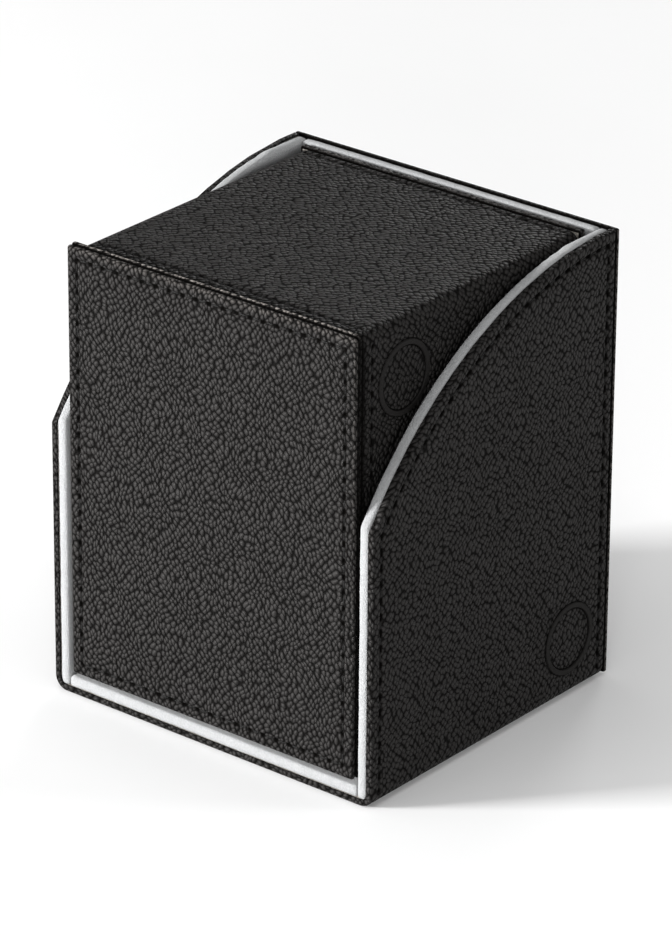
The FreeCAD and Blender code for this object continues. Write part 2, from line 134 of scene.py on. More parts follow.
def drop_faces(piece, test):
    mark(piece, "FACE", test)
    bpy.ops.mesh.delete(type="FACE")


def crease_round(piece, test, radius, segments):
    """Round the chosen edges."""
    mark(piece, "EDGE", test)
    bpy.ops.mesh.bevel(offset=radius, offset_type="OFFSET", segments=segments, affect="EDGES",
                       clamp_overlap=True)


def apply_modifier(piece, kind, **settings):
    modifier = piece.modifiers.new(kind.lower(), kind)
    for key, setting in settings.items():
        setattr(modifier, key, setting)
    hold(piece)
    bpy.ops.object.modifier_apply(modifier=modifier.name)


def edge_length(edge):
    return (edge.verts[1].co - edge.verts[0].co).length


def add_points(piece, test, spacing=FINE):
    """Put evenly spaced points on the chosen edges, so that a seam can pull on them."""
    if mark(piece, "EDGE", lambda e: test(e) and edge_length(e) > 80*spacing):
        bpy.ops.mesh.subdivide(number_cuts=3, ngon=True, quadcorner="INNERVERT")
    mesh = bmesh.from_edit_mesh(piece.data)
    lengths = sorted({round(edge_length(e)/spacing) for e in mesh.edges if test(e)})
    for count in lengths:
        if count > 1 and mark(piece, "EDGE", lambda e: test(e) and
                              round(edge_length(e)/spacing) == count):
            bpy.ops.mesh.subdivide(number_cuts=count - 1, ngon=True, quadcorner="INNERVERT")


def seam_rows(edge_round):
    """Widths of the rows of faces from a rounded edge to just past the stitches."""
    first = SEAM_INSET - edge_round - 1.2*MM
    return [first, 0.45*MM, 0.25*MM, 0.15*MM, 0.15*MM, 0.2*MM,
            0.2*MM, 0.15*MM, 0.15*MM, 0.25*MM, 0.4*MM]


def inset_rows(widths):
    """Inset the selected region again and again: rows of faces that follow its edge."""
    for width in widths:
        bpy.ops.mesh.inset(thickness=width, depth=0, use_boundary=True, use_even_offset=True)


def across(edge, face):
    """The edge on the other side of a four-sided face."""
    return next(e for e in face.edges if not set(e.verts) & set(edge.verts))


def comb_rows(piece, rows, keep, spacing=FINE):
    """Divide the rows round the selected region lengthwise, so that stitches can pull on them."""
    mesh = bmesh.from_edit_mesh(piece.data)
    groups = {}
    for start in [e for e in mesh.edges if sum(f.select for f in e.link_faces) == 1]:
        rungs = [start]
        face = next(f for f in start.link_faces if f.select)
        for _ in range(rows):
            face = next((f for f in rungs[-1].link_faces if f is not face), None)
            rungs.append(across(rungs[-1], face))
        cuts = round(edge_length(rungs[-1])/spacing) - 1
        if cuts > 0 and keep(middle(rungs[-1])):
            groups.setdefault(cuts, []).extend(rungs)
    for cuts, rungs in groups.items():
        bmesh.ops.subdivide_edges(mesh, edges=rungs, cuts=cuts)
    bmesh.update_edit_mesh(piece.data)


# ---- stitches ----------------------------------------------------------------------------

def stitches_of(node):
    """Middle and direction of every stitch of a CAD thread row, read from its mesh."""
    mesh = bmesh.new()
    mesh.from_mesh(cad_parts[node].data)
    bmesh.ops.remove_doubles(mesh, verts=mesh.verts, dist=1e-6)
    seen = set()
    found = []
    for start in mesh.verts:
        if start in seen:
            continue
        seen.add(start)
        island = []
        frontier = [start]
        while frontier:
            vert = frontier.pop()
            island.append(vert.co.copy())
            for edge in vert.link_edges:
                other = edge.other_vert(vert)
                if other not in seen:
                    seen.add(other)
                    frontier.append(other)
        centre = sum(island, Vector())/len(island)
        ends = [point for point in island if (point - centre).length >
                0.98*max((p - centre).length for p in island)]
        far = ends[0]
        one = [p for p in island if (p - far).length < (p - centre).length]
        other = [p for p in island if p not in one and (p - far).length > 2*MM]
        along = (sum(one, Vector())/len(one) - sum(other, Vector())/len(other)).normalized()
        found.append((centre, along))
    mesh.free()
    return sorted(found, key=lambda row: tuple(round(c, 6) for c in row[0]))


def smooth(low, high, x):
    """0 at low, 1 at high, and a smooth change between them."""
    t = min(1, max(0, (x - low)/(high - low)))
    return t*t*(3 - 2*t)


def pull_in(piece, stitches, outward, slit=0.29, hole=NEEDLE_HOLE):
    """Sink the skin along its stitches, and deeper at the needle holes between them; paint shade
    into the holes and along the groove.
    """
    pressed = piece.data.attributes["pressed"].data
    shade_paint = piece.data.attributes["painted_shade"].data
    tree = kdtree.KDTree(len(stitches))
    for i, (centre, _) in enumerate(stitches):
        tree.insert(centre, i)
    tree.balance()
    for vert in piece.data.vertices:
        centre, i, gap = tree.find(vert.co)
        if gap > 3.2*MM:
            continue
        normal = outward(vert.co)
        if normal is None:
            continue
        offset = vert.co - centre
        if not -0.05*MM < offset.dot(normal) < 0.4*MM:
            continue
        along = abs(offset.dot(stitches[i][1]))
        beside = abs(offset.cross(stitches[i][1]).dot(normal))
        if along > 0.62*STITCH_PITCH:
            continue
        end = smooth(0.62*STITCH_PITCH, 0.5*STITCH_PITCH, along)
        sink = GROOVE*smooth(0.6*MM, 0.1*MM, beside)*end
        pit = smooth(0.28*STITCH_PITCH, 0.5*STITCH_PITCH, along)
        sink += (hole - GROOVE)*pit*smooth(0.5*MM, 0.12*MM, beside)*end
        puff = 0.06*MM*smooth(2.4*MM, 1.1*MM, beside)*smooth(0.3*MM, 1.1*MM, beside)
        vert.co += normal*(puff - sink)
        flat = 0.3*smooth(0.55*MM, 0.2*MM, beside)*end
        pressed[vert.index].value = max(pressed[vert.index].value, flat)
        # Painted shade: dark slits at the needle holes and a dark line along the groove.
        dark = smooth(slit, slit + 0.08, along/STITCH_PITCH)*smooth(0.56*MM, 0.26*MM, beside)
        line = 0.6*smooth(0.32*MM, 0.1*MM, beside)
        shade_paint[vert.index].value = max(shade_paint[vert.index].value, max(dark, line)*end)


def thread_row(name, node, body, outward):
    """All the stitches of a row: plump short threads whose ends dive into the needle holes."""
    sides = 6
    rings = 7
    mesh = bmesh.new()
    for centre, along in stitches_of(node):
        normal = outward(centre)
        side = along.cross(normal).normalized()
        loops = []
        for r in range(rings):
            t = 2*r/(rings - 1) - 1
            radius = THREAD_RADIUS*math.sqrt(1 - 0.75*t**4)
            spot = centre + along*(t*STITCH_HALF) - normal*(0.06*MM + 0.4*MM*t**4)
            loops.append([mesh.verts.new(spot + (side*math.cos(a) + normal*math.sin(a))*radius)
                          for a in (math.tau*s/sides for s in range(sides))])
        for low, high in zip(loops, loops[1:]):
            for s in range(sides):
                mesh.faces.new((low[s], low[s - 1], high[s - 1], high[s]))
        mesh.faces.new(loops[0])
        mesh.faces.new(loops[-1][::-1])
    bmesh.ops.recalc_face_normals(mesh, faces=mesh.faces)
    data = bpy.data.meshes.new(name)
    mesh.to_mesh(data)
    mesh.free()
    data.shade_smooth()
    row = bpy.data.objects.new(name, data)
    bpy.context.scene.collection.objects.link(row)
    finish_piece(row, body, thread_material, [node])
    return row


def finish_piece(piece, body, material, nodes):
    """Give a piece its finish, put it on its body and let it stand for its CAD nodes."""
    piece.data.materials.clear()
    piece.data.materials.append(material)
    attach(piece, body)
    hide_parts(*nodes)


# ---- finishes ----------------------------------------------------------------------------

class Wire:
    """One output of a shader node. Python's operators on it add Math nodes."""

    def __init__(self, tree, socket):
        self.tree = tree
        self.socket = socket

    def node(self, kind, settings=None, output=0, **inputs):
        """Add any other node; settings come first, then the values or wires of its sockets."""
        return add_node(self.tree, kind, settings, output, **inputs)

    def maths(self, operation, *terms, clamp=False):
        made = self.tree.nodes.new("ShaderNodeMath")
        made.operation = operation
        made.use_clamp = clamp
        for socket, term in zip(made.inputs, terms):
            feed(self.tree, socket, term)
        return Wire(self.tree, made.outputs[0])

    def __add__(self, other):
        return self.maths("ADD", self, other)

    def __radd__(self, other):
        return self.maths("ADD", other, self)

    def __sub__(self, other):
        return self.maths("SUBTRACT", self, other)

    def __rsub__(self, other):
        return self.maths("SUBTRACT", other, self)

    def __mul__(self, other):
        return self.maths("MULTIPLY", self, other)

    def __rmul__(self, other):
        return self.maths("MULTIPLY", other, self)

    def clamped(self):
        return self.maths("ADD", self, 0, clamp=True)

    def step(self, low, high):
        """0 below low, 1 above high, and a smooth change between them."""
        return self.node("ShaderNodeMapRange", {"interpolation_type": "SMOOTHSTEP"}, 0,
                         Value=self, From_Min=low, From_Max=high)


def feed(tree, socket, source):
    """Link a wire to a socket, or set the socket's own value."""
    if isinstance(source, Wire):
        tree.links.new(source.socket, socket)
    else:
        socket.default_value = source


def add_node(tree, kind, settings=None, output=0, **inputs):
    """Add a node. A socket goes by its name, or by slot_ and its number."""
    made = tree.nodes.new(kind)
    for key, setting in (settings or {}).items():
        setattr(made, key, setting)
    for name, source in inputs.items():
        index = int(name[5:]) if name.startswith("slot_") else name.replace("_", " ")
        feed(tree, made.inputs[index], source)
    return Wire(tree, made.outputs[output])


def new_finish(name, **fixed):
    """A material with one Principled shader; the fixed values go straight on its sockets."""
    material = bpy.data.materials.new(name)
    material.use_nodes = True
    tree = material.node_tree
    shader = next(n for n in tree.nodes if n.type == "BSDF_PRINCIPLED")
    for key, setting in fixed.items():
        shader.inputs[key.replace("_", " ")].default_value = setting
    place = add_node(tree, "ShaderNodeTexCoord", output=3)
    in_mm = place.node("ShaderNodeVectorMath", {"operation": "SCALE"}, 0, Vector=place, Scale=1000)
    return material, tree, shader, in_mm


def blend_colours(factor, first, second):
    """Colour that goes from the first to the second as the factor goes from 0 to 1."""
    return factor.node("ShaderNodeMix", {"data_type": "RGBA"}, 2, slot_0=factor,
                       slot_6=first, slot_7=second)


def relief(height, distance):
    """Surface direction bent by a height between 0 and 1, over a distance in metres."""
    return height.node("ShaderNodeBump", None, 0, Height=height, Distance=distance,
                       Strength=1.0)


def leatherette():
    """Black pebble-grained leatherette: domed pebbles with painted shade in the creases between
    them.
    """
    material, tree, shader, place = new_finish("black_leatherette", Specular_IOR_Level=0.12)
    sheet = add_node(tree, "ShaderNodeAttribute", {"attribute_name": "sheet_place"}, 1)
    sheet = sheet.node("ShaderNodeVectorMath", {"operation": "SCALE"}, 0, Vector=sheet, Scale=1000)
    drift = sheet.node("ShaderNodeTexNoise", {"noise_dimensions": "2D"}, 1, Vector=sheet,
                       Scale=0.14, Detail=1.0)
    drift = drift.node("ShaderNodeVectorMath", {"operation": "MULTIPLY_ADD"}, 0, slot_0=drift,
                       slot_1=(2.2, 2.2, 0), slot_2=sheet)
    flow = drift.node("ShaderNodeMapping", None, 0, Vector=drift, Rotation=(0, 0, 0.8),
                      Scale=(1.0, 0.86, 1.0))
    cells = {"Vector": flow, "Scale": 0.94, "Randomness": 0.58}
    to_edge = sheet.node("ShaderNodeTexVoronoi", {"voronoi_dimensions": "2D",
                         "feature": "DISTANCE_TO_EDGE"}, 0, **cells)
    to_core = sheet.node("ShaderNodeTexVoronoi", {"voronoi_dimensions": "2D"}, 0, **cells)
    tone = sheet.node("ShaderNodeTexVoronoi", {"voronoi_dimensions": "2D"}, 1, **cells)
    wrinkle = place.node("ShaderNodeTexNoise", None, 0, Vector=place, Scale=3.0, Detail=2.0)
    patch = place.node("ShaderNodeTexNoise", None, 0, Vector=place, Scale=0.09, Detail=2.0)
    pressed = add_node(tree, "ShaderNodeAttribute", {"attribute_name": "pressed"}, 2)
    # Painted shade marked on the skin: needle holes, stitch grooves, joints and hollow sides.
    hole = add_node(tree, "ShaderNodeAttribute", {"attribute_name": "painted_shade"}, 2)
    own = tone.node("ShaderNodeSeparateColor", None, 0, Color=tone)
    dome = (1 - to_core*to_core*2.3).clamped()
    grain = dome*(0.85 + 0.15*own) + 0.12*to_edge.step(0.0, 0.12) + 0.04*wrinkle
    flat = 0.85 + 0.03*wrinkle
    height = grain*(1 - pressed) + flat*pressed
    # Painted shade: the colour darkens from each pebble's middle towards the creases, and wherever
    # painted shade is marked.
    pebble = (1 - 0.7*to_core.step(0.32, 0.68))*(0.7 + 0.3*to_edge.step(-0.02, 0.12))
    open_face = (pebble*(0.9 + 0.1*own)*(1 - pressed) + 0.6*pressed)*(1 - hole)
    shade = (open_face*(0.8 + 0.4*patch)).clamped()
    colour = blend_colours(shade, (0.003, 0.0026, 0.0024, 1), (0.0235, 0.0219, 0.021, 1))
    # Painted light: a lighter brownish colour on the domes where an edge or side is marked as lit.
    painted_light = add_node(tree, "ShaderNodeAttribute", {"attribute_name": "painted_light"}, 2)
    colour = blend_colours(painted_light*shade*shade, colour, (0.3, 0.272, 0.25, 1))
    feed(tree, shader.inputs["Base Color"], colour)
    rough = 0.62 - 0.1*shade + 0.06*wrinkle
    feed(tree, shader.inputs["Roughness"], rough)
    feed(tree, shader.inputs["Normal"], relief(height, 0.85*MM))
    shade_inside(tree, shader, open_face)
    return material


def shade_inside(tree, shader, openness):
    """Let deep creases swallow the light: mix towards a dull black where little gets in."""
    hollow = add_node(tree, "ShaderNodeBsdfPrincipled", Base_Color=(0.002, 0.0018, 0.0016, 1),
                      Roughness=1.0, Specular_IOR_Level=0.0)
    mixed = add_node(tree, "ShaderNodeMixShader", slot_0=(0.05 + openness*1.15).clamped(),
                     slot_1=hollow, slot_2=Wire(tree, shader.outputs[0]))
    output = next(n for n in tree.nodes if n.type == "OUTPUT_MATERIAL")
    feed(tree, output.inputs["Surface"], mixed)


def plush(name, light, dark, nap):
    """Short dense nap: soft mottling and a fine tufted relief."""
    material, tree, shader, place = new_finish(name, Roughness=0.95, Sheen_Weight=0.25,
                                               Sheen_Roughness=0.5, Specular_IOR_Level=0.2)
    tuft = place.node("ShaderNodeTexNoise", None, 0, Vector=place, Scale=2.6, Detail=4.0,
                      Roughness=0.65)
    brushed = place.node("ShaderNodeTexNoise", None, 0, Vector=place, Scale=0.35, Detail=3.0)
    fibre = place.node("ShaderNodeTexVoronoi", {"feature": "F1"}, 0, Vector=place, Scale=4.5)
    shade = (0.5*tuft.step(0.32, 0.68) + 0.45*brushed + 0.25*(1 - fibre) - 0.05).clamped()
    colour = blend_colours(shade, dark, light)
    feed(tree, shader.inputs["Base Color"], colour)
    feed(tree, shader.inputs["Normal"], relief(0.6*tuft + 0.4*(1 - fibre), nap))
    return material


def sewing_thread():
    """Twisted black polyester: fine slanting plies with a slight sheen."""
    material, tree, shader, place = new_finish("black_thread", Specular_IOR_Level=0.2)
    ply = place.node("ShaderNodeTexWave", {"bands_direction": "DIAGONAL"}, 1, Vector=place,
                     Scale=1.6, Distortion=1.2, Detail=2.0)
    fuzz = place.node("ShaderNodeTexNoise", None, 0, Vector=place, Scale=9.0, Detail=3.0)
    shade = (0.7*ply + 0.3*fuzz).clamped()
    colour = blend_colours(shade, (0.002, 0.002, 0.002, 1), (0.009, 0.0085, 0.008, 1))
    feed(tree, shader.inputs["Base Color"], colour)
    feed(tree, shader.inputs["Roughness"], 0.5 + 0.25*fuzz)
    feed(tree, shader.inputs["Normal"], relief(ply, 0.05*MM))
    return material


def binders_board():
    """Grey-brown pressed board with stray fibres."""
    material, tree, shader, place = new_finish("greyboard", Specular_IOR_Level=0.2)
    pulp = place.node("ShaderNodeTexNoise", None, 0, Vector=place, Scale=0.8, Detail=5.0)
    fibre = place.node("ShaderNodeTexNoise", None, 0, Vector=place, Scale=5.0, Detail=4.0,
                       Distortion=1.5)
    fleck = fibre.step(0.6, 0.7)
    shade = (pulp*0.9 + 0.35*fleck).clamped()
    colour = blend_colours(shade, (0.2, 0.185, 0.165, 1), (0.46, 0.43, 0.39, 1))
    feed(tree, shader.inputs["Base Color"], colour)
    feed(tree, shader.inputs["Roughness"], 0.8 + 0.15*pulp)
    feed(tree, shader.inputs["Normal"], relief(pulp + 0.5*fibre, 0.05*MM))
    return material


def nickel_plate():
    """Bright plating with fine turning marks."""
    material, tree, shader, place = new_finish("nickel_plate", Metallic=1.0)
    haze = place.node("ShaderNodeTexNoise", None, 0, Vector=place, Scale=1.2, Detail=4.0)
    mark_lines = place.node("ShaderNodeTexNoise", None, 0, Vector=place, Scale=12.0, Detail=2.0)
    colour = blend_colours(haze, (0.5, 0.5, 0.49, 1), (0.72, 0.71, 0.68, 1))
    feed(tree, shader.inputs["Base Color"], colour)
    feed(tree, shader.inputs["Roughness"], 0.22 + 0.2*haze)
    feed(tree, shader.inputs["Normal"], relief(mark_lines, 0.01*MM))
    return material


leather = leatherette()
liner_plush = plush("grey_plush", (0.45, 0.455, 0.46, 1), (0.29, 0.295, 0.3, 1), 0.4*MM)
lining_suede = plush("grey_suede", (0.50, 0.51, 0.52, 1), (0.32, 0.33, 0.34, 1), 0.12*MM)
thread_material = sewing_thread()
board_material = binders_board()
magnet_material = nickel_plate()


# ---- shared shapes -----------------------------------------------------------------------

def to_edit(piece):
    hold(piece)
    bpy.ops.object.mode_set(mode="EDIT")


def to_object():
    bpy.ops.object.mode_set(mode="OBJECT")


def turn_in(piece, test, depth, inward):
    """Extrude the chosen open edges and lay the new strip against the board's edge."""
    mark(piece, "EDGE", lambda e: e.is_boundary and test(e))
    bpy.ops.mesh.extrude_edges_move(TRANSFORM_OT_translate={"value": (0, 0, 0)})
    mesh = bmesh.from_edit_mesh(piece.data)
    for vert in mesh.verts:
        if vert.select:
            vert.co += inward(vert.co)*depth
    bmesh.update_edit_mesh(piece.data)


def sharp(edge):
    return len(edge.link_faces) == 2 and edge.calc_face_angle(0) > 1.0


def thicken(piece, thickness):
    """Give an open skin its thickness, inwards."""
    apply_modifier(piece, "SOLIDIFY", thickness=thickness, offset=-1.0, use_even_offset=True,
                   use_rim=True)


def soft_faces(piece):
    """Shade a piece smooth, apart from its sharp edges."""
    hold(piece)
    bpy.ops.object.shade_smooth_by_angle(angle=math.radians(40))


def rim_planes(inset, step):
    """Points and outward directions along the curved rim, from the rear to the front edge."""
    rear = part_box("shell_back_leather")[1].y
    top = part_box("shell_wrap_leather")[1].z
    centre = Vector((0, rear - RIM_PEAK_INSET, top - RIM_RADIUS))
    turns = [0] + [4 + step*i for i in range(int(50.5/step) + 1)]
    for turn in map(math.radians, turns):
        outward = Vector((0, -math.sin(turn), math.cos(turn)))
        yield centre + outward*(RIM_RADIUS - inset), outward


def cut_rim(inset, fill, step=1.345):
    """Cut the piece in edit mode down to the curved rim, one straight facet after another."""
    for point, outward in rim_planes(inset, step):
        bpy.ops.mesh.select_all(action="SELECT")
        bpy.ops.mesh.bisect(plane_co=point, plane_no=outward, clear_outer=True, use_fill=fill)


def pressed_ring(piece, centre, side):
    """Cut a round patch into a flat side and set up rows of faces for the pressed ring."""
    reach = 8.5 * MM

    def on_side(face):
        return face.normal.x*side > 0.999

    def patch(face):
        c = face.calc_center_median()
        return (on_side(face) and abs(c.y - centre.y) < 0.2*MM and abs(c.z - centre.z) < 0.2*MM)

    def around(face):
        ys = [v.co.y for v in face.verts]
        zs = [v.co.z for v in face.verts]
        return (on_side(face) and min(ys) < centre.y < max(ys) and min(zs) < centre.z < max(zs)
                and max(ys) - min(ys) > reach)

    for axis in (1, 2):
        for sign in (-1, 1):
            spot = centre.copy()
            normal = Vector((0, 0, 0))
            spot[axis] += sign*reach
            normal[axis] = 1
            mark(piece, "FACE", around)
            bpy.ops.mesh.bisect(plane_co=spot, plane_no=normal)
    mark(piece, "FACE", patch)
    mesh = bmesh.from_edit_mesh(piece.data)
    square = next(f for f in mesh.faces if f.select)
    bmesh.ops.bisect_edges(mesh, edges=square.edges[:], cuts=23)
    bmesh.update_edit_mesh(piece.data)
    bpy.ops.mesh.inset(thickness=0.1*MM, depth=0, use_even_offset=True)
    mesh = bmesh.from_edit_mesh(piece.data)
    for vert in mesh.verts:
        if vert.select:
            out = Vector((0, vert.co.y - centre.y, vert.co.z - centre.z)).normalized()
            vert.co = Vector((vert.co.x, centre.y, centre.z)) + out*(RING_OUTER + 0.15*MM)
    bmesh.update_edit_mesh(piece.data)
    inset_rows([0.15*MM, 0.12*MM, 0.13*MM, 0.9*MM, 0.13*MM, 0.12*MM, 0.15*MM, 0.35*MM])


def press_in(piece, centre, side):
    """Raise the ring's smooth rolled band between two pressed lines, and paint shade into the
    lines.
    """
    pressed = piece.data.attributes["pressed"].data
    shade_paint = piece.data.attributes["painted_shade"].data
    for i, vert in enumerate(piece.data.vertices):
        out = math.hypot(vert.co.y - centre.y, vert.co.z - centre.z)
        if out > RING_OUTER + 0.1*MM or vert.co.x*side <= 0 or abs(vert.co.x - centre.x) > 0.1*MM:
            continue
        band = (smooth(RING_OUTER, RING_OUTER - 0.25*MM, out)
                * smooth(RING_INNER, RING_INNER + 0.25*MM, out))
        line = max(0, 1 - min(abs(out - RING_OUTER - 0.05*MM), abs(out - RING_INNER))/(0.2*MM))
        vert.co.x += side*(RING_RISE*band - RING_LINE*line*(1 - band))
        pressed[i].value = max(pressed[i].value, smooth(0.0, 0.5, band), 0.7*line)
        # Painted shade in the two lines beside the band.
        shade_paint[i].value = line*(1 - band)


def lay_sheet(piece, flatten):
    """Note where each point lies on the flat sheet that the skin was cut from."""
    # Room for the flattened grain, the painted shade and the painted light of each point.
    for name in ("pressed", "painted_shade", "painted_light"):
        piece.data.attributes.new(name, "FLOAT", "POINT")
    spots = piece.data.attributes.new("sheet_place", "FLOAT_VECTOR", "POINT").data
    for vert in piece.data.vertices:
        across_sheet, up_sheet = flatten(vert.co)
        spots[vert.index].vector = (across_sheet, up_sheet, 0)


def unfold_panel(low, high, front, edge_round):
    """Flatten a skin that is turned back round the four edges of a panel."""
    centre = (low + high)/2

    def flatten(point):
        depth = abs(point.y - front)
        spot = []
        for axis in (0, 2):
            reach = point[axis] - centre[axis]
            turned = abs(reach) > (high - low)[axis]/2 - edge_round - 1e-6
            spot.append(reach + (math.copysign(depth, reach) if turned else 0))
        return spot
    return flatten


def unfold_wrap(core_of, radius, low, high):
    """Flatten a skin that goes round a U of two sides and a bottom or top."""
    flat_x = high.x - radius
    bend = core_of(Vector((0, 0, low.z))).z if near(low.z, 0) else high.z - radius

    def flatten(point):
        core = core_of(point)
        away = point - core
        depth = radius - away.length
        run = abs(point.x)
        if abs(core.x) > flat_x - 1e-6:
            turn = math.atan2(abs(away.x), abs(away.z))
            run = flat_x + turn*radius + abs(core.z - bend)
        along = point.y
        if near(point.y, low.y, 0.5*MM):
            along -= depth
        elif near(point.y, high.y, 0.5*MM):
            along += depth
        elif depth > 0.01*MM:
            run += depth
        return along, math.copysign(run, point.x)
    return flatten


def side_of(reach):
    """Outward direction on two flat sides at +-reach, and none elsewhere."""

    def outward(point):
        if abs(abs(point.x) - reach) > 0.5*MM:
            return None
        return Vector((math.copysign(1, point.x), 0, 0))

    return outward


def shadow_joint(piece, level, reach):
    """Keep light out of the joint where a skin meets its neighbour behind it."""
    shade_paint = piece.data.attributes["painted_shade"].data
    for vert in piece.data.vertices:
        dark = smooth(reach, 0.1*MM, abs(vert.co.y - level))
        shade_paint[vert.index].value = max(shade_paint[vert.index].value, dark)


def shade_sides(piece, side, amount):
    """Darken the narrow side faces, which lie in a hollow."""
    shade_paint = piece.data.attributes["painted_shade"].data
    for vert in piece.data.vertices:
        dark = amount*smooth(0.7*MM, 0.3*MM, side - abs(vert.co.x))
        shade_paint[vert.index].value = max(shade_paint[vert.index].value, dark)


def paint_side_light(piece, side, amount):
    """Paint a warm light on the narrow side faces: lighter and browner there."""
    painted_light = piece.data.attributes["painted_light"].data
    for vert in piece.data.vertices:
        painted_light[vert.index].value = amount*smooth(0.5*MM, 0.1*MM, side - abs(vert.co.x))


def paint_edge_highlight(piece, top, front, reach, amount):
    """Paint a highlight along an upper edge: the grain lighter there."""
    painted_light = piece.data.attributes["painted_light"].data
    for vert in piece.data.vertices:
        away = top - vert.co.z
        deep = smooth(1.7*MM, 1.0*MM, abs(vert.co.y - front))
        painted_light[vert.index].value = amount*smooth(reach, 0.2*MM, away)*deep


def facing(level, face_sign):
    """Outward direction on a flat front or back at one depth, and none elsewhere."""

    def outward(point):
        if abs(point.y - level) > 0.5*MM:
            return None
        return Vector((0, face_sign, 0))

    return outward


def uneven(piece, size, amount):
    """Let a soft face wander a little, as glued cloth does."""
    cloud = bpy.data.textures.new(piece.name + "_wander", "CLOUDS")
    cloud.noise_scale = size
    apply_modifier(piece, "DISPLACE", texture=cloud, strength=amount, mid_level=0.5,
                   texture_coords="LOCAL")


def panel_skin(name, node, face_sign, edge_round, segments, joint, sewn=True):
    """A flat skin turned round a board: open behind, rounded in front, with rows for its seam."""
    low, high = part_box(node)
    piece = block(name, low, high)
    front = low.y if face_sign < 0 else high.y
    to_edit(piece)
    drop_faces(piece, lambda f: f.normal.y*face_sign < -0.9)
    crease_round(piece, lambda e: not e.is_boundary, edge_round, segments)
    if sewn:
        mark(piece, "FACE", lambda f: f.normal.y*face_sign > 0.999)
        inset_rows(seam_rows(edge_round))
        comb_rows(piece, len(seam_rows(edge_round)), lambda spot: True)
    centre = (low + high)/2
    reach = (high - low)/2

    def behind(point):
        spot = point - centre
        return Vector((-spot.x/reach.x, 0, -spot.z/reach.z))

    turn_in(piece, lambda e: True, PANEL_LIP, behind)
    crease_round(piece, lambda e: sharp(e) and near(middle(e).y, low.y + high.y - front),
                 0.4*MM, 3)
    to_object()
    thicken(piece, SKIN)
    lay_sheet(piece, unfold_panel(low, high, front, edge_round))
    shadow_joint(piece, low.y + high.y - front, joint)
    # A weak painted highlight along the upper edge.
    paint_edge_highlight(piece, high.z, front, 1.3*MM, 0.15)
    return piece


# ---- shell -------------------------------------------------------------------------------

def shell_skin():
    """One skin over both sides and the bottom, turned in at the front, the rims and the rear."""
    low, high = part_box("shell_wrap_leather")
    piece = block("shell_skin", low, high)
    to_edit(piece)
    crease_round(piece, lambda e: runs_along(e, 1) and near(middle(e).z, low.z),
                 FOLD_RADIUS, 8)
    drop_faces(piece, lambda f: abs(f.normal.y) > 0.9 or f.normal.z > 0.9)
    cut_rim(0, False)

    flat_x = high.x - FOLD_RADIUS

    def core(point):
        return Vector((max(-flat_x, min(flat_x, point.x)), point.y, max(point.z, FOLD_RADIUS)))

    def inward(point):
        return (core(point) - point).normalized()

    def outer(face):
        return abs(face.normal.y) < 1e-3 and face.normal.z < 1e-3

    turn_in(piece, lambda e: not near(middle(e).y, high.y), FRONT_LIP, inward)
    crease_round(piece, sharp, EDGE_ROUND, 4)
    mark(piece, "FACE", outer)
    inset_rows(seam_rows(EDGE_ROUND))
    comb_rows(piece, len(seam_rows(EDGE_ROUND)), lambda spot: spot.z > FOLD_RADIUS + 1e-5)
    for side in (-1, 1):
        pressed_ring(piece, shell_ring(side), side)
    turn_in(piece, lambda e: near(middle(e).y, high.y) and outer(e.link_faces[0]), REAR_LIP,
            inward)
    crease_round(piece, lambda e: sharp(e) and near(middle(e).y, high.y), 0.3*MM, 3)
    to_object()
    thicken(piece, SKIN)
    lay_sheet(piece, unfold_wrap(core, FOLD_RADIUS, low, high))
    outward = side_of(high.x)
    for side in (-1, 1):
        press_in(piece, shell_ring(side), side)
    for node in ("shell_left_stitching", "shell_right_stitching"):
        pull_in(piece, stitches_of(node), outward, slit=0.23)
        thread_row(node.replace("stitching", "stitches"), node, "shell", outward)
    soft_faces(piece)
    finish_piece(piece, "shell", leather, ["shell_wrap_leather"])


def shell_ring(side):
    """Centre of the pressed ring on one side of the shell, over its magnet."""
    low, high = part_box("shell_right_magnet" if side > 0 else "shell_left_magnet")
    centre = (low + high)/2
    centre.x = side*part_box("shell_wrap_leather")[1].x
    return centre


def shell_back_skin():
    """The stitched skin over the shell's back board, with painted warm light on its narrow sides.
    """
    piece = panel_skin("shell_back_skin", "shell_back_leather", 1, EDGE_ROUND, 4, 0.3*MM)
    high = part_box("shell_back_leather")[1]
    # Painted warm light: the narrow sides lighter and browner.
    paint_side_light(piece, high.x, 0.25)
    outward = facing(high.y, 1)
    pull_in(piece, stitches_of("shell_back_stitching"), outward)
    thread_row("shell_back_stitches", "shell_back_stitching", "shell", outward)
    soft_faces(piece)
    finish_piece(piece, "shell", leather, ["shell_back_leather"])


def plush_liner(name, node, curved):
    """A board wrapped in thick plush: every edge soft and round, the faces a little uneven."""
    low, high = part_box(node)
    piece = block(name, low, high)
    to_edit(piece)
    if curved:
        cut_rim(-PLUSH_RISE, True, 2.3)
    crease_round(piece, sharp, PLUSH_ROUND, 4)
    to_object()
    apply_modifier(piece, "REMESH", mode="VOXEL", voxel_size=0.55*MM)
    apply_modifier(piece, "SMOOTH", factor=0.5, iterations=2)
    uneven(piece, 4*MM, 0.16*MM)
    uneven(piece, 1.1*MM, 0.1*MM)
    hold(piece)
    bpy.ops.object.shade_smooth()
    finish_piece(piece, "shell", liner_plush, [node])


# ---- card box ----------------------------------------------------------------------------

